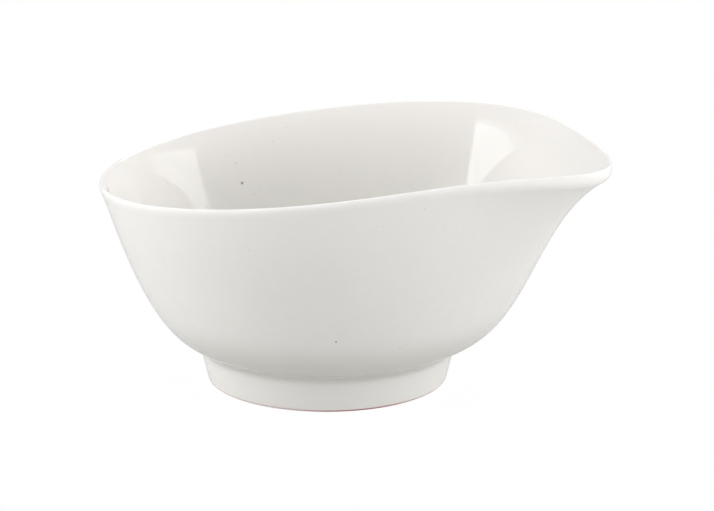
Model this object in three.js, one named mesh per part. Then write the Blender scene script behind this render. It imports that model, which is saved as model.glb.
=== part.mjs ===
// Handle-less sauce boat in white porcelain: a round bowl drawn out to one pouring lip, on a foot ring.
// Millimetres, +Z up, the spout along +X, the foot standing on z = 0.
import * as THREE from "three";

// Rim, measured on the outside of the wall just under the lip, from the axis of the foot.
const bowlRadius = 64;
const spoutReach = 20.1;
const spoutSpread = THREE.MathUtils.degToRad(14.2);
const rimHeight = 63.1;
const rimTilt = 8.4;
const spoutDip = 4.4;

// Lip: half an oval in section, bent upright where the spout flares.
const lipThickness = 2.1;
const lipRise = 2.8;
const tipBend = 2;

// Wall, from the flat seat on the foot up to the lip.
const seatThickness = 3.6;
const seatRise = THREE.MathUtils.degToRad(3);
const seatPull = 14.25;
const rimFlare = THREE.MathUtils.degToRad(63.5);
const rimPull = 5.2;

// Belly and shoulder under the spout, drawn out over a wider stretch than the rim.
const drawSpread = THREE.MathUtils.degToRad(34);
const bellyReach = 7.8;
const bellyRise = 2.6;
const shoulderDrop = 14;

// Foot ring.
const footHeight = 11.6;
const footRadius = 37;
const footTaper = 2.7;
const footEdge = 0.8;
const footLand = 2.6;
const footWall = 5;

// Fineness of the surfaces.
const ribCount = 120;
const wallRows = 14;
const lipRows = 6;
const edgeRows = 3;

const { lerp } = THREE.MathUtils;

const bowlGlaze = new THREE.MeshStandardMaterial({ name: "bowl_glaze", color: 0xecebe6, roughness: 0.12 });
const footGlaze = new THREE.MeshStandardMaterial({ name: "foot_glaze", color: 0xe9e8e2, roughness: 0.18 });

// Share of a pull that is felt at an angle round the bowl: one on the pouring line, fading to none.
function fade(angle, spread) {
  return 1 / Math.cosh(angle / spread);
}

function slope(angle, length) {
  return new THREE.Vector2(Math.cos(angle), Math.sin(angle)).multiplyScalar(length);
}

// Outside of the wall at one angle, as a curve of radius and height from the seat to the rim.
function wallRib(angle) {
  const spout = fade(angle, spoutSpread);
  const draw = fade(angle, drawSpread);
  const seat = new THREE.Vector2(footRadius, footHeight);
  const rim = new THREE.Vector2(bowlRadius, rimHeight + rimTilt * Math.cos(angle));
  const belly = seat.clone().add(slope(seatRise, seatPull));
  const shoulder = rim.clone().sub(slope(rimFlare, rimPull));
  belly.addScaledVector(new THREE.Vector2(bellyReach, bellyRise), draw);
  shoulder.addScaledVector(new THREE.Vector2(0, -shoulderDrop), draw);
  rim.addScaledVector(new THREE.Vector2(spoutReach, -spoutDip), spout);
  return new THREE.CubicBezierCurve(seat, belly, shoulder, rim);
}

function outerPoint(angle, along) {
  const { x: radius, y: height } = wallRib(angle).getPoint(along);
  return new THREE.Vector3(radius * Math.cos(angle), radius * Math.sin(angle), height);
}

// Outward normal and upward direction of the wall, from points a small step away on either side.
function wallFrame(angle, along) {
  const step = 1e-3;
  const low = Math.max(along - step, 0);
  const high = Math.min(along + step, 1);
  const up = outerPoint(angle, high).sub(outerPoint(angle, low)).normalize();
  const round = outerPoint(angle + step, along).sub(outerPoint(angle - step, along)).normalize();
  const normal = new THREE.Vector3().crossVectors(round, up).normalize();
  return { normal, up };
}

function innerPoint(angle, along) {
  const thickness = lerp(seatThickness, lipThickness, along);
  return outerPoint(angle, along).addScaledVector(wallFrame(angle, along).normal, -thickness);
}

// Lip: half a turn from the outside of the rim over to its inside.
function lipPoint(angle, turn) {
  const radius = lipThickness / 2;
  const bend = tipBend * fade(angle, spoutSpread) * Math.sin(turn) ** 2;
  const { normal, up } = wallFrame(angle, 1);
  return outerPoint(angle, 1)
    .addScaledVector(normal, radius * (Math.cos(turn) - 1) - bend)
    .addScaledVector(up, lipRise * Math.sin(turn));
}

// Points once round the bowl, from the back by way of the pouring line at angle zero.
function ring(pointAt) {
  return Array.from({ length: ribCount }, (_, rib) => pointAt(2 * Math.PI * (rib / ribCount) - Math.PI));
}

// Closed skin over rings of points, with a single point at each end.
function skin(start, rings, end) {
  const points = [start, ...rings.flat(), end];
  const last = points.length - 1;
  const at = (row, rib) => 1 + row * ribCount + (rib % ribCount);
  const faces = [];
  for (let rib = 0; rib < ribCount; rib += 1) {
    faces.push(0, at(0, rib + 1), at(0, rib));
    for (let row = 0; row + 1 < rings.length; row += 1) {
      faces.push(at(row, rib), at(row, rib + 1), at(row + 1, rib + 1));
      faces.push(at(row, rib), at(row + 1, rib + 1), at(row + 1, rib));
    }
    faces.push(at(rings.length - 1, rib), at(rings.length - 1, rib + 1), last);
  }
  const geometry = new THREE.BufferGeometry().setFromPoints(points);
  geometry.setIndex(faces);
  geometry.computeVertexNormals();
  return geometry;
}

function bowlGeometry() {
  const rings = [];
  for (let row = 0; row < wallRows; row += 1) {
    rings.push(ring((angle) => outerPoint(angle, row / wallRows)));
  }
  for (let row = 0; row < lipRows; row += 1) {
    rings.push(ring((angle) => lipPoint(angle, (Math.PI * row) / lipRows)));
  }
  for (let row = wallRows; row >= 0; row -= 1) {
    rings.push(ring((angle) => innerPoint(angle, row / wallRows)));
  }
  const floorHeight = rings.at(-1)[0].z;
  return skin(new THREE.Vector3(0, 0, footHeight), rings, new THREE.Vector3(0, 0, floorHeight));
}

// Ring turned about the axis: a flat land on the table, a soft outer edge and a tapering outside.
function footGeometry() {
  const baseRadius = footRadius - footTaper;
  const innerRadius = baseRadius - footEdge - footLand;
  const profile = [new THREE.Vector2(innerRadius, 0), new THREE.Vector2(baseRadius - footEdge, 0)];
  for (let row = 1; row <= edgeRows; row += 1) {
    const turn = (Math.PI / 2) * (row / edgeRows);
    profile.push(new THREE.Vector2(
      baseRadius - footEdge * (1 - Math.sin(turn)),
      footEdge * (1 - Math.cos(turn)),
    ));
  }
  profile.push(new THREE.Vector2(footRadius, footHeight));
  profile.push(new THREE.Vector2(footRadius - footWall, footHeight));
  profile.push(profile[0].clone());
  return new THREE.LatheGeometry(profile, ribCount).rotateX(Math.PI / 2);
}

const boat = new THREE.Group();
boat.name = "sauce_boat";

const bowl = new THREE.Mesh(bowlGeometry(), bowlGlaze);
bowl.name = "bowl";
const footRing = new THREE.Mesh(footGeometry(), footGlaze);
footRing.name = "foot_ring";
boat.add(bowl, footRing);

// The frame's origin lies under the middle of the whole length, so the foot stands a little behind it.
const middle = new THREE.Box3().setFromObject(boat).getCenter(new THREE.Vector3());
for (const piece of boat.children) {
  piece.geometry.translate(-middle.x, -middle.y, 0);
}

export default boat;
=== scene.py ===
import math

import bmesh
import bpy
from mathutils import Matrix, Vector


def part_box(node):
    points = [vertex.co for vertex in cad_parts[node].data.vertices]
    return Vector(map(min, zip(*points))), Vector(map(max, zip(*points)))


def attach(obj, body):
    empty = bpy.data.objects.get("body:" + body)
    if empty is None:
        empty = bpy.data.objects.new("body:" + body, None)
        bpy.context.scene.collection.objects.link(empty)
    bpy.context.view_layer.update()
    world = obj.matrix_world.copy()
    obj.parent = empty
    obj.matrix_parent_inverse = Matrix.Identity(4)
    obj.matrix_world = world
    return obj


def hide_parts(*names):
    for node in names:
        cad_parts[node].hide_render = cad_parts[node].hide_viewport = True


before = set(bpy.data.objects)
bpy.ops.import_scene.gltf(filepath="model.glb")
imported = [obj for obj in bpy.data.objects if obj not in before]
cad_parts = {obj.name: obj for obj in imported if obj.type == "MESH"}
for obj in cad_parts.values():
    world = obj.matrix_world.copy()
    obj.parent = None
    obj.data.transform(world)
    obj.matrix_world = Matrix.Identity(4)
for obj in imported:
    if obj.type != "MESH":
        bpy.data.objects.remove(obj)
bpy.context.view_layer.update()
scene = bpy.context.scene
scene.view_settings.view_transform = "Standard"
footLow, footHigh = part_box("foot_ring")
footAxis = (footLow.x + footHigh.x) / 2  # the bowl is built round the axis of its foot
footRadius, footHeight = 0.037, 0.0116  # of the corner where the bowl sits on its foot
print("frame loaded, foot axis at x =", round(footAxis * 1000, 2), "mm")


class Wire:  # a socket in a node tree, with Python's operators
    def __init__(self, tree, socket=None):
        self.tree = tree
        self.socket = socket

    def node(self, kind, settings=None, inputs=None, out=0):
        made = self.tree.nodes.new(kind)
        for name, value in (settings or {}).items():
            setattr(made, name, value)
        for name, value in (inputs or {}).items():
            if isinstance(value, Wire):
                self.tree.links.new(value.socket, made.inputs[name])
            else:
                made.inputs[name].default_value = value
        return Wire(self.tree, made.outputs[out] if made.outputs else None)

    def other(self, out):  # another output of the same node
        return Wire(self.tree, self.socket.node.outputs[out])

    def maths(self, operation, *values):
        return self.node("ShaderNodeMath", {"operation": operation}, dict(enumerate(values)))

    def vector(self, operation, *values):
        return self.node("ShaderNodeVectorMath", {"operation": operation}, dict(enumerate(values)))

    def scaled(self, factor):
        return self.node("ShaderNodeVectorMath", {"operation": "SCALE"}, {0: self, "Scale": factor})

    def parts(self):  # X of this vector, whose other outputs are Y and Z
        return self.node("ShaderNodeSeparateXYZ", {}, {"Vector": self})

    def between(self, low, high, toLow=0.0, toHigh=1.0, smooth=False):
        settings = {"interpolation_type": "SMOOTHSTEP" if smooth else "LINEAR"}
        ends = {"From Min": low, "From Max": high, "To Min": toLow, "To Max": toHigh}
        return self.node("ShaderNodeMapRange", settings, {"Value": self, **ends})

    def blend(self, first, second):  # two colours, mixed by this factor
        colours = {0: self, 6: first, 7: second}
        return self.node("ShaderNodeMix", {"data_type": "RGBA"}, colours, out=2)

    def __add__(self, other):
        return self.maths("ADD", self, other)

    __radd__ = __add__

    def __sub__(self, other):
        return self.maths("SUBTRACT", self, other)

    def __rsub__(self, other):
        return self.maths("SUBTRACT", other, self)

    def __mul__(self, other):
        return self.maths("MULTIPLY", self, other)

    __rmul__ = __mul__

    def __truediv__(self, other):
        return self.maths("DIVIDE", self, other)

    def __rtruediv__(self, other):
        return self.maths("DIVIDE", other, self)

    def __pow__(self, other):
        return self.maths("POWER", self, other)


def aim(thing, place, target):  # stands a camera or a lamp at a place and turns it to a target
    thing.location = place
    thing.rotation_euler = (Vector(target) - Vector(place)).to_track_quat("-Z", "Y").to_euler()


def roundFrom(target, azimuth, elevation, distance):  # azimuth from +X towards +Y
    level = distance * math.cos(elevation)
    along, across = level * math.cos(azimuth), level * math.sin(azimuth)
    return Vector(target) + Vector((along, across, distance * math.sin(elevation)))


camera = {
    "azimuth": math.radians(-66),  # from the side, turned a little towards the spout
    "elevation": math.radians(16.67),
    "distance": 1.2825,
    "target": (0.00772 + footAxis, 0.00344, 0.03564),
    "lens": 226.9,
    "sensor": 36.0,
}


def makeCamera(sizes):
    data = bpy.data.cameras.new("camera")
    data.sensor_fit = "HORIZONTAL"
    data.sensor_width = sizes["sensor"]
    data.lens = sizes["lens"]
    made = bpy.data.objects.new("camera", data)
    scene.collection.objects.link(made)
    place = roundFrom(sizes["target"], sizes["azimuth"], sizes["elevation"], sizes["distance"])
    aim(made, place, sizes["target"])
    scene.camera = made


makeCamera(camera)
print("camera set")

glaze = {
    "colour": (0.735, 0.715, 0.684, 1),
    "blush": (0.708, 0.694, 0.665, 1),  # in faint cloudy patches and finer mottling
    "paintedLightAndThin": (0.855, 0.834, 0.814, 1),  # pinkish, where the white body shows through the thin glaze on the lip and upper wall, and painted light where it also lightens the lip's top, the upper wall and the bowl's inner ends
    "shadeAndPooled": (0.55, 0.548, 0.503, 1),  # greenish, where it runs down to the foot, and painted shade: it darkens the crease over the foot and the low inside of the bowl
    "blushScale": 34.0,
    "blushBand": (0.35, 0.7),  # values of the noise between which the patches come in
    "mottleScale": 420.0,
    "mottleBand": (0.35, 0.65),
    "mottleShare": 0.45,
    "cloudDetail": 3.0,
    "roughness": (0.02, 0.045),
    "roughnessBand": (0.3, 0.7),
    "waves": [  # broad waves that bend the reflections, ripples and a fine orange peel
        {"scale": 38.0, "detail": 1.0, "height": 0.0001},
        {"scale": 150.0, "detail": 1.0, "height": 0.000009},
        {"scale": 640.0, "detail": 2.0, "height": 0.0000012},
    ],
    "shadeAndPoolAbove": (0.0004, 0.0155),  # how far from the corner the pool and its painted shade thin out, up the bowl
    "shadeAndPoolBelow": (0.0008, 0.0042),  # and down the foot
    "shadeAndPoolInside": (0.024, 0.052),  # heights between which the pool and its painted shade in the bowl thin out
    "shadeAndPoolInsideShare": 0.2,
    "lipThinAndLight": (0.08, 0.85),  # from the lip's foot towards its top, the glaze runs thin, with a painted highlight along the lip's top
    "rimThinAndLight": (0.58, 1.0),  # and inside the bowl from this share of the way up the wall, partly painted light on the upper wall
    "rimShare": 0.72,
    "rimOutside": 0.35,  # less so outside
    "spoutPaintedLight": (math.radians(85), math.radians(45)),  # painted light inside the bowl, to both sides of the pouring line
    "spoutShare": 0.68,
    "lineThin": (math.radians(6), math.radians(40)),  # along which the thin glaze and the painted light are weaker
    "lineShare": 0.45,
    "endPaintedLight": (math.radians(146), math.radians(168)),  # and at the end away from the spout, painted light as well
    "endShare": 0.65,
    "wallPaintedLight": (0.25, 0.7),  # by spout and end only up the wall, and not on the bowl's floor
}

specks = {
    "colour": (0.13, 0.085, 0.055, 1),
    "cells": 300.0,  # fine random pores, cells in a metre
    "share": 0.6,  # of the cells that have one
    "size": 0.08,
    "core": 0.4,  # share of its radius at which a pore starts to fade
    "strength": (0.06, 0.36),
    "rarity": 3,  # power that keeps most pores weak
    "markCore": 0.3,
    "marks": [  # the larger iron specks: degrees from the spout, height, radius, strength and side
        {"angle": 140.87, "height": 0.04291, "radius": 0.0006, "strength": 0.75, "inside": True},
        {"angle": 141.72, "height": 0.04861, "radius": 0.00035, "strength": 0.3, "inside": True},
        {"angle": 137.57, "height": 0.03952, "radius": 0.0003, "strength": 0.25, "inside": True},
        {"angle": 144.43, "height": 0.05104, "radius": 0.0003, "strength": 0.2, "inside": True},
        {"angle": -63.02, "height": 0.02632, "radius": 0.00042, "strength": 0.7, "inside": False},
        {"angle": -98.38, "height": 0.04776, "radius": 0.0003, "strength": 0.25, "inside": False},
        {"angle": -85.84, "height": 0.05452, "radius": 0.0003, "strength": 0.2, "inside": False},
        {"angle": -42.36, "height": 0.02289, "radius": 0.0004, "strength": 0.15, "inside": False},
        {"angle": -120.59, "height": 0.05806, "radius": 0.00035, "strength": 0.25, "inside": False},
    ],
}


def shaderStart(name):
    made = bpy.data.materials.new(name)
    made.use_nodes = True
    made.node_tree.nodes.clear()
    return made, Wire(made.node_tree).node("ShaderNodeTexCoord", out="Object")


def cloud(place, scale, detail):
    return place.node("ShaderNodeTexNoise", {}, {"Vector": place, "Scale": scale, "Detail": detail})


def roundAxis(place):  # angle from the pouring line, radius and height about the foot's axis
    x = place.parts()
    y, height = x.other("Y"), x.other("Z")
    x = x - footAxis
    return x.maths("ARCTAN2", y, x), x.maths("SQRT", x * x + y * y), height


def randomSpecks(place, sizes):  # one fine dot in some of the cells, weak in most
    settings = {"feature": "F1", "voronoi_dimensions": "3D"}
    cell = place.node("ShaderNodeTexVoronoi", settings, {"Vector": place, "Scale": sizes["cells"]})
    pick = cell.node("ShaderNodeSeparateColor", {}, {"Color": cell.other("Color")}, "Red")
    chosen = pick.maths("LESS_THAN", pick, sizes["share"])
    strength = (pick.other("Green") ** sizes["rarity"]).between(0.0, 1.0, *sizes["strength"])
    dot = cell.between(sizes["size"] * sizes["core"], sizes["size"], 1.0, 0.0)
    return chosen * strength * dot


def markSpecks(angle, radius, height, inside, sizes):  # each on its own side of the wall
    total = inside * 0
    for mark in sizes["marks"]:
        across = (angle - math.radians(mark["angle"])) * radius
        rise = height - mark["height"]
        distance = angle.maths("SQRT", across * across + rise * rise)
        core = mark["radius"] * sizes["markCore"]
        dot = distance.between(core, mark["radius"], mark["strength"], 0.0, smooth=True)
        total = total + dot * (inside if mark["inside"] else 1 - inside)
    return total


def glazeSurface(place, height, sizes, shadeAndPool):  # colour, with painted shade at the foot's corner, gloss and small waves of a poured glaze
    blush = cloud(place, sizes["blushScale"], sizes["cloudDetail"])
    mottle = cloud(place, sizes["mottleScale"], sizes["cloudDetail"])
    share = blush.between(*sizes["blushBand"], 0.0, 1 - sizes["mottleShare"])
    share = share + mottle.between(*sizes["mottleBand"], 0.0, sizes["mottleShare"])
    colour = share.blend(sizes["colour"], sizes["blush"])
    fromCorner = height.maths("ABSOLUTE", height - footHeight)
    # painted shade, with pooled glaze: darker and greener towards the corner over the foot
    colour = fromCorner.between(*shadeAndPool, 1.0, 0.0, smooth=True).blend(colour, sizes["shadeAndPooled"])
    rough = blush.between(*sizes["roughnessBand"], *sizes["roughness"])
    waves = 0
    for wave in sizes["waves"]:
        waves = waves + cloud(place, wave["scale"], wave["detail"]) * wave["height"]
    return colour, rough, waves


def shaderEnd(colour, rough, waves):
    bump = waves.node("ShaderNodeBump", {}, {"Height": waves, "Distance": 1.0, "Strength": 1.0})
    inputs = {"Base Color": colour, "Roughness": rough, "IOR": 1.5, "Normal": bump}
    shader = bump.node("ShaderNodeBsdfPrincipled", {}, inputs)
    shader.node("ShaderNodeOutputMaterial", {}, {"Surface": shader})


def paintedLightAndThinness(angle, along, inside, sizes):  # how far the body shows through the bowl's thin glaze, with painted light on the lip's top, the upper wall and the inner ends
    fromSpout = angle.maths("ABSOLUTE", angle)
    rim = along.between(*sizes["rimThinAndLight"], 0.0, sizes["rimShare"], smooth=True)
    rim = rim * inside.between(0.0, 1.0, sizes["rimOutside"], 1.0)
    # painted light: the inside is lightened to both sides of the spout and at the far end, where
    # the lamps light it
    spout = fromSpout.between(*sizes["spoutPaintedLight"], 0.0, sizes["spoutShare"], smooth=True)
    end = fromSpout.between(*sizes["endPaintedLight"], 0.0, sizes["endShare"], smooth=True)
    ends = spout.maths("MAXIMUM", spout, end) * along.between(*sizes["wallPaintedLight"], smooth=True)
    paintedLightAndThin = rim.maths("MAXIMUM", rim, ends * inside)
    paintedLightAndThin = paintedLightAndThin * fromSpout.between(*sizes["lineThin"], sizes["lineShare"], 1.0, smooth=True)
    top = 1 - inside.maths("ABSOLUTE", inside * 2 - 1)  # none at the lip's feet, one on its top
    return paintedLightAndThin.maths("MAXIMUM", paintedLightAndThin, top.between(*sizes["lipThinAndLight"], smooth=True))


def makeBowlGlaze(sizes):
    made, place = shaderStart("bowlGlaze")
    angle, radius, height = roundAxis(place)
    along = place.node("ShaderNodeAttribute", {"attribute_name": "alongWall"}, {}, "Fac")
    inside = place.node("ShaderNodeAttribute", {"attribute_name": "inside"}, {}, "Fac")
    colour, rough, waves = glazeSurface(place, height, sizes, sizes["shadeAndPoolAbove"])
    # painted shade, with pooled glaze: darker towards the bowl's floor
    shadeAndPool = height.between(*sizes["shadeAndPoolInside"], sizes["shadeAndPoolInsideShare"], 0.0, smooth=True)
    colour = (inside * shadeAndPool).blend(colour, sizes["shadeAndPooled"])
    # the pale colour: thin glaze, and painted light on the lip's top, the upper wall and the inner
    # ends
    colour = paintedLightAndThinness(angle, along, inside, sizes).blend(colour, sizes["paintedLightAndThin"])
    colour = randomSpecks(place, specks).blend(colour, specks["colour"])
    marks = markSpecks(angle, radius, height, inside, specks)
    shaderEnd(marks.blend(colour, specks["colour"]), rough, waves)
    return made


bowlGlaze = makeBowlGlaze(glaze)
print("bowl glaze mixed")

bowl = {
    "footAxis": footAxis,
    "footHeight": footHeight,
    "footRadius": footRadius,
    "bowlRadius": 0.06395,
    "spoutReach": 0.0201,
    "spoutSpread": math.radians(14.2),
    "rimHeight": 0.0631,
    "rimTilt": 0.0084,
    "spoutDip": 0.0044,
    "lipThickness": 0.0021,
    "lipRise": 0.00275,
    "tipBend": 0.002,
    "seatThickness": 0.0036,
    "seatRise": math.radians(3),
    "seatPull": 0.01425,
    "rimFlare": math.radians(63.5),
    "rimPull": 0.0052,
    "drawSpread": math.radians(34),
    "bellyReach": 0.0078,
    "bellyRise": 0.0026,
    "shoulderDrop": 0.014,
    "ribs": 360,
    "rows": 250,
    "seatRow": 0.04,  # shares of the rows where the underside, wall, lip and inside end
    "rimRow": 0.44,
    "brimRow": 0.56,
    "floorRow": 0.96,
    "step": 0.004,  # to the points from which the wall's directions are worked out
    "mergeDistance": 0.00001,
}


def fade(angle, spread):  # one on the pouring line, fading to none round the bowl
    return 1 / angle.maths("COSH", angle / spread)


def wallPoint(size, angle, along):  # outside of the wall: a curved rib from the seat up to the rim
    spout = fade(angle, size["spoutSpread"])
    draw = fade(angle, size["drawSpread"])
    cosAngle = angle.maths("COSINE", angle)
    rimUp = size["rimHeight"] + size["rimTilt"] * cosAngle
    seatOut = size["footRadius"] + size["seatPull"] * angle.maths("COSINE", size["seatRise"])
    seatUp = size["footHeight"] + size["seatPull"] * angle.maths("SINE", size["seatRise"])
    shoulderOut = size["bowlRadius"] - size["rimPull"] * angle.maths("COSINE", size["rimFlare"])
    shoulderUp = rimUp - size["rimPull"] * angle.maths("SINE", size["rimFlare"])
    outs = [
        size["footRadius"],
        seatOut + size["bellyReach"] * draw,
        shoulderOut,
        size["bowlRadius"] + size["spoutReach"] * spout,
    ]
    ups = [
        size["footHeight"],
        seatUp + size["bellyRise"] * draw,
        shoulderUp - size["shoulderDrop"] * draw,
        rimUp - size["spoutDip"] * spout,
    ]
    left = 1 - along
    weights = [
        left * left * left,
        3 * left * left * along,
        3 * left * along * along,
        along * along * along,
    ]
    radius = sum(weight * out for weight, out in zip(weights, outs))
    height = sum(weight * up for weight, up in zip(weights, ups))
    parts = {"X": radius * cosAngle, "Y": radius * angle.maths("SINE", angle), "Z": height}
    return angle.node("ShaderNodeCombineXYZ", {}, parts)


def bowlShell(start, size):  # one sheet of points wrapped over the wall, the lip and the inside
    count = {"Vertices X": size["ribs"] + 1, "Vertices Y": size["rows"] + 1}
    sheet = start.node("GeometryNodeMeshGrid", {}, {"Size X": 1.0, "Size Y": 1.0, **count})
    across = start.node("GeometryNodeInputPosition").parts()  # the sheet reaches 0.5 to each side
    angle = across * (2 * math.pi)
    row = across.other("Y") + 0.5
    base = row.between(0.0, size["seatRow"])  # from the middle of the underside out to the seat
    outside = row.between(size["seatRow"], size["rimRow"])
    lip = row.between(size["rimRow"], size["brimRow"])
    inside = row.between(size["brimRow"], size["floorRow"])
    floor = row.between(size["floorRow"], 1.0)  # and over the bowl's floor to its middle
    along = outside - inside
    for name, value in {"alongWall": along, "inside": lip}.items():
        stored = {"Geometry": sheet, "Name": name, "Value": value}
        sheet = sheet.node("GeometryNodeStoreNamedAttribute", {}, stored)

    step = size["step"]
    above, below = wallPoint(size, angle, along + step), wallPoint(size, angle, along - step)
    after, before = wallPoint(size, angle + step, along), wallPoint(size, angle - step, along)
    up = angle.vector("NORMALIZE", angle.vector("SUBTRACT", above, below))
    around = angle.vector("SUBTRACT", after, before)
    out = angle.vector("NORMALIZE", angle.vector("CROSS_PRODUCT", around, up))

    turn = lip * math.pi
    over = angle.maths("SINE", turn)
    swell = (size["seatThickness"] - size["lipThickness"]) * (1 - along)  # thickens downwards
    bend = size["tipBend"] * fade(angle, size["spoutSpread"]) * over * over  # stands the tip up
    lipRadius = size["lipThickness"] / 2
    sink = lipRadius * (angle.maths("COSINE", turn) - 1) - swell * lip - bend
    point = angle.vector("ADD", wallPoint(size, angle, along), out.scaled(sink))
    point = angle.vector("ADD", point, up.scaled(size["lipRise"] * over))

    gather = base * (1 - floor)  # draws the ribs together in the middle of underside and floor
    level = (size["footHeight"] + size["seatThickness"]) * floor
    spread = angle.node("ShaderNodeCombineXYZ", {}, {"X": gather, "Y": gather, "Z": 1 - floor})
    shift = angle.node("ShaderNodeCombineXYZ", {}, {"X": size["footAxis"], "Z": level})
    point = angle.vector("ADD", angle.vector("MULTIPLY", point, spread), shift)
    shell = point.node("GeometryNodeSetPosition", {}, {"Geometry": sheet, "Position": point})
    merged = {"Geometry": shell, "Distance": size["mergeDistance"]}
    return shell.node("GeometryNodeMergeByDistance", {}, merged)


def makeByNodes(name, build, sizes, material):
    tree = bpy.data.node_groups.new(name + "Nodes", "GeometryNodeTree")
    sockets = {}
    for key, value in sizes.items():
        kind = "NodeSocketInt" if isinstance(value, int) else "NodeSocketFloat"
        sockets[key] = tree.interface.new_socket(key, in_out="INPUT", socket_type=kind)
    tree.interface.new_socket("Geometry", in_out="OUTPUT", socket_type="NodeSocketGeometry")
    start = Wire(tree).node("NodeGroupInput")
    shape = build(start, {key: start.other(key) for key in sizes})
    shape = shape.node("GeometryNodeSetShadeSmooth", {}, {"Geometry": shape})
    shape = shape.node("GeometryNodeRealizeInstances", {}, {"Geometry": shape})
    shape = shape.node("GeometryNodeSetMaterial", {}, {"Geometry": shape, "Material": material})
    shape.node("NodeGroupOutput", {}, {"Geometry": shape})
    made = bpy.data.objects.new(name, bpy.data.meshes.new(name))
    scene.collection.objects.link(made)
    maker = made.modifiers.new("nodes", "NODES")
    maker.node_group = tree
    for key, value in sizes.items():
        maker[sockets[key].identifier] = value
    graph = bpy.context.evaluated_depsgraph_get()
    mesh = bpy.data.meshes.new_from_object(made.evaluated_get(graph), depsgraph=graph)
    made.modifiers.remove(maker)
    made.data = mesh
    return made


bowlPiece = makeByNodes("bowlShell", bowlShell, bowl, bowlGlaze)
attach(bowlPiece, "root")
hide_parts("bowl")
print("bowl made,", len(bowlPiece.data.polygons), "faces")

footFinish = {
    "paintedFootLight": (0.79, 0.778, 0.748, 1),  # painted light: the foot is lightened below the pooled corner
    "paintedFootLightShare": 0.75,
    "bare": (0.60, 0.50, 0.42, 1),  # unglazed land, with a sandy grain
    "bareRoughness": 0.75,
    "bareHeight": (0.00012, 0.00022),
    "bareShare": (0.85, 1.0),
    "grainScale": 2600.0,
    "grainDetail": 3.0,
    "grainBand": (0.2, 0.7),
    "grainHeight": 0.00003,
    "flash": (0.40, 0.075, 0.06, 1),  # reddish line that the kiln leaves along the glaze's edge
    "flashHeight": (0.0004, 0.0009),
    "flashScale": 22.0,
    "flashDetail": 2.0,
    "flashWander": 0.0006,  # how far its upper edge strays
    "flashBand": (0.3, 0.6),  # values of the noise between which it grows stronger
    "flashShare": (0.5, 1.0),
    "flashAngle": math.radians(-48),  # where the line is strongest
    "flashSpread": math.radians(45),
    "flashFar": 0.4,  # what is left of it elsewhere
}


def makeFootGlaze(sizes, finish):
    made, place = shaderStart("footGlaze")
    angle, _, height = roundAxis(place)
    colour, rough, waves = glazeSurface(place, height, sizes, sizes["shadeAndPoolBelow"])
    shadeAndPoolEnd = footHeight - sizes["shadeAndPoolBelow"][1]
    below = height.between(shadeAndPoolEnd, footHeight, 1.0, 0.0, smooth=True)
    # painted light: the foot lightened below the pooled corner
    colour = (below * finish["paintedFootLightShare"]).blend(colour, finish["paintedFootLight"])
    colour = randomSpecks(place, specks).blend(colour, specks["colour"])

    wander = cloud(place, finish["flashScale"], finish["flashDetail"])
    edge = height + (wander - 0.5) * finish["flashWander"]
    flash = edge.between(*finish["flashHeight"], 1.0, 0.0, smooth=True)
    flash = flash * wander.between(*finish["flashBand"], *finish["flashShare"])
    away = angle.maths("ABSOLUTE", angle - finish["flashAngle"])
    flash = flash * away.between(0.0, finish["flashSpread"], 1.0, finish["flashFar"], smooth=True)
    colour = flash.blend(colour, finish["flash"])

    bare = height.between(*finish["bareHeight"], 1.0, 0.0)
    grain = cloud(place, finish["grainScale"], finish["grainDetail"])
    sandy = bare * grain.between(*finish["grainBand"], *finish["bareShare"])
    rough = rough + (finish["bareRoughness"] - rough) * bare
    waves = waves + bare * grain * finish["grainHeight"]
    shaderEnd(sandy.blend(colour, finish["bare"]), rough, waves)
    return made


footGlaze = makeFootGlaze(glaze, footFinish)
print("foot glaze mixed")

foot = {
    "height": footHeight,
    "topRadius": footRadius,
    "taper": 0.0027,
    "outerEdge": 0.0008,
    "innerEdge": 0.0005,
    "land": 0.0026,
    "wall": 0.005,
    "creaseDrop": 0.0027,  # glaze run into the corner under the bowl, from this far down the foot
    "creaseReach": 0.0045,  # out and up to a point just inside the bowl's wall
    "creaseRise": 0.0017,
    "creaseSlope": math.radians(30),  # in which it ends
    "creaseTail": 0.0001,  # and on a little, before the profile turns up inside the wall
    "overlap": 0.0003,
    "arcSteps": 8,
    "ribs": 360,
}


def arc(centre, radius, start, end, steps):
    turns = [start + (end - start) * step / steps for step in range(steps + 1)]
    out, up = centre
    return [(out + radius * math.cos(turn), up + radius * math.sin(turn)) for turn in turns]


def bow(start, bend, end, steps):  # a curve drawn towards the point where its two end slopes meet
    points = []
    for share in [step / steps for step in range(steps + 1)]:
        weights = ((1 - share) ** 2, 2 * share * (1 - share), share ** 2)
        axes = zip(start, bend, end)
        points.append(tuple(sum(w * value for w, value in zip(weights, axis)) for axis in axes))
    return points


def creaseProfile(sizes, lean):  # from the foot's leaning side out under the bowl and into its wall
    top, height, slope = sizes["topRadius"], sizes["height"], sizes["creaseSlope"]
    drop, reach, rise = sizes["creaseDrop"], sizes["creaseReach"], sizes["creaseRise"]
    bendUp = rise * math.cos(slope) - reach * math.sin(slope)
    bendUp = bendUp / math.cos(lean + slope) * math.cos(lean)
    low = (top - drop * math.tan(lean), height - drop)
    bend = (top + bendUp * math.tan(lean), height + bendUp)
    high = (top + reach, height + rise)
    tail = sizes["creaseTail"]
    end = (high[0] + tail * math.cos(slope), high[1] + tail * math.sin(slope))
    return bow(low, bend, high, sizes["arcSteps"]) + [end, (end[0], end[1] + sizes["overlap"])]


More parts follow.
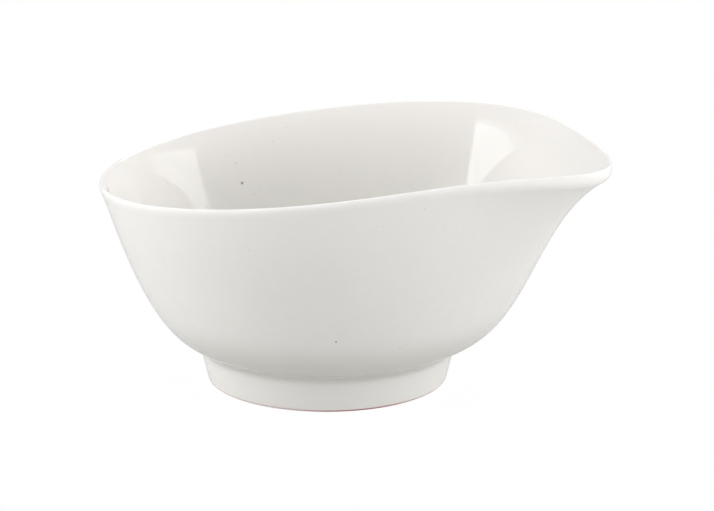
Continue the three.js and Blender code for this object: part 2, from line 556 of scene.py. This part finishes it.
def footProfile(sizes):  # radius and height, from the inside of the land round to the top
    base = sizes["topRadius"] - sizes["taper"]
    inner = base - sizes["outerEdge"] - sizes["land"]
    lean = math.atan2(sizes["taper"], sizes["height"] - sizes["outerEdge"])
    steps = sizes["arcSteps"]
    innerCentre = (inner + sizes["innerEdge"], sizes["innerEdge"])
    outerCentre = (base - sizes["outerEdge"], sizes["outerEdge"])
    profile = [(sizes["topRadius"] - sizes["wall"], sizes["height"])]
    profile += arc(innerCentre, sizes["innerEdge"], math.pi, 1.5 * math.pi, steps)
    profile += arc(outerCentre, sizes["outerEdge"], -math.pi / 2, -lean, steps)
    return profile + creaseProfile(sizes, lean)


def makeFoot(name, sizes, material):  # the profile turned about the foot's axis
    mesh = bpy.data.meshes.new(name)
    shape = bmesh.new()
    profile = footProfile(sizes)
    rings = []
    for rib in range(sizes["ribs"]):
        turn = 2 * math.pi * rib / sizes["ribs"]
        points = [(footAxis + r * math.cos(turn), r * math.sin(turn), z) for r, z in profile]
        rings.append([shape.verts.new(point) for point in points])
    for rib, ring in enumerate(rings):
        following = rings[(rib + 1) % len(rings)]
        for row in range(len(ring)):
            after = (row + 1) % len(ring)
            shape.faces.new((ring[row], following[row], following[after], ring[after]))
    bmesh.ops.recalc_face_normals(shape, faces=shape.faces)
    for face in shape.faces:
        face.smooth = True
    shape.to_mesh(mesh)
    shape.free()
    mesh.materials.append(material)
    made = bpy.data.objects.new(name, mesh)
    scene.collection.objects.link(made)
    return made


footPiece = makeFoot("footRing", foot, footGlaze)
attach(footPiece, "root")
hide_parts("foot_ring")
print("foot ring made,", len(footPiece.data.polygons), "faces")

studio = {
    "white": (1, 1, 1, 1),
    "ambient": 0.12,
    "mirrored": 0.7,  # how bright the glaze mirrors the white round it
    "floorSize": 6.0,
    "floorColour": (0.85, 0.85, 0.85, 1),
    "floorLift": 0.985,  # how much of the floor's white the camera sees without its shading
}


def lightPath(tree):  # whether a ray comes from the camera, and whether from a mirroring surface
    seen = Wire(tree).node("ShaderNodeLightPath", out="Is Camera Ray")
    return seen, seen.other("Is Glossy Ray") + seen.other("Is Transmission Ray")


def makeSky(sizes):
    world = bpy.data.worlds.new("studio")
    world.use_nodes = True
    world.node_tree.nodes.clear()
    seen, gloss = lightPath(world.node_tree)
    level = seen.maths("MAXIMUM", sizes["ambient"], seen + gloss * sizes["mirrored"])
    sky = level.node("ShaderNodeBackground", {}, {"Color": sizes["white"], "Strength": level})
    sky.node("ShaderNodeOutputWorld", {}, {"Surface": sky})
    scene.world = world


def makeFloor(sizes):
    paint = bpy.data.materials.new("paleFloor")
    paint.use_nodes = True
    paint.node_tree.nodes.clear()
    seen, gloss = lightPath(paint.node_tree)
    level = seen + gloss * sizes["mirrored"]
    share = seen * sizes["floorLift"] + gloss
    matt = seen.node("ShaderNodeBsdfDiffuse", {}, {"Color": sizes["floorColour"]})
    white = seen.node("ShaderNodeEmission", {}, {"Color": sizes["white"], "Strength": level})
    mixed = seen.node("ShaderNodeMixShader", {}, {0: share, 1: matt, 2: white})
    mixed.node("ShaderNodeOutputMaterial", {}, {"Surface": mixed})
    half = sizes["floorSize"] / 2
    corners = [(-half, -half, 0), (half, -half, 0), (half, half, 0), (-half, half, 0)]
    mesh = bpy.data.meshes.new("floor")
    mesh.from_pydata(corners, [], [(0, 1, 2, 3)])
    mesh.materials.append(paint)
    floor = bpy.data.objects.new("floor", mesh)
    scene.collection.objects.link(floor)


makeSky(studio)
makeFloor(studio)
print("floor laid")

anySoftbox = {  # what a softbox has where its own row says nothing else
    "roll": 0,
    "distance": 1.0,
    "fade": (1, 1, 1, 1),  # level at its two ends, the one of lower turn first, and bottom and top
    "mirrored": False,  # whether the glaze mirrors it
    "border": 0.022,  # dimmer border
    "borderStart": 0.8,  # share of the border after which it brightens
    "borderLevel": 0.4,
}

softboxes = {  # turn in degrees from the camera's side to its right, rise from the floor up
    "right": {"turn": 96, "rise": 13.5, "size": (0.61, 0.4), "radiance": 4.3,
              "fade": (1, 0.2, 1, 0.6), "mirrored": True},
    "rightRear": {"turn": 126, "rise": 15, "size": (0.58, 0.46), "radiance": 3.2},
    "left": {"turn": 249.7, "rise": 0.8, "size": (0.8, 0.2), "radiance": 3.7,
             "roll": 17, "fade": (0, 1, 1, 1), "mirrored": True},
    "leftRear": {"turn": 252, "rise": 8, "size": (0.8, 0.2), "radiance": 3.2},
    "rightFill": {"turn": 62, "rise": 28, "size": (0.9, 0.8), "radiance": 3.7, "distance": 1.2},
    "leftFill": {"turn": 285, "rise": 26, "size": (1.0, 0.8), "radiance": 3.9, "distance": 1.2},
    "front": {"turn": 352, "rise": 43, "size": (1.7, 0.9), "radiance": 0.9, "distance": 1.4},
    "back": {"turn": 180, "rise": 45, "size": (1.0, 0.6), "radiance": 2.6, "mirrored": True},
    "top": {"turn": 0, "rise": 88, "size": (0.7, 0.7), "radiance": 0.8, "mirrored": True},
}


def makeSoftbox(name, sizes, target):
    width, height = sizes["size"]
    data = bpy.data.lights.new(name, "AREA")
    data.shape = "RECTANGLE"
    data.size, data.size_y = width, height
    data.energy = math.pi * width * height * sizes["radiance"]
    data.use_nodes = True
    data.node_tree.nodes.clear()
    across = Wire(data.node_tree).node("ShaderNodeNewGeometry", out="Parametric").parts()
    up = across.other("Y")
    fromEnds = (0.5 - across.maths("ABSOLUTE", across - 0.5)) * width
    fromEdges = (0.5 - across.maths("ABSOLUTE", up - 0.5)) * height
    inset = across.maths("MINIMUM", fromEnds, fromEdges)
    dimTo = sizes["border"] * sizes["borderStart"]
    level = inset.between(dimTo, sizes["border"], sizes["borderLevel"], 1.0)
    level = level * across.between(0.0, 1.0, *sizes["fade"][:2])
    level = level * up.between(0.0, 1.0, *sizes["fade"][2:])
    glow = level.node("ShaderNodeEmission", {}, {"Color": studio["white"], "Strength": level})
    glow.node("ShaderNodeOutputLight", {}, {"Surface": glow})
    made = bpy.data.objects.new(name, data)
    made.visible_glossy = sizes["mirrored"]
    scene.collection.objects.link(made)
    azimuth = camera["azimuth"] + math.radians(sizes["turn"])
    place = roundFrom(target, azimuth, math.radians(sizes["rise"]), sizes["distance"])
    aim(made, place, target)
    made.rotation_euler.rotate_axis("Z", math.radians(sizes["roll"]))


for name, sizes in softboxes.items():
    makeSoftbox(name + "Softbox", {**anySoftbox, **sizes}, camera["target"])
print("studio lit")
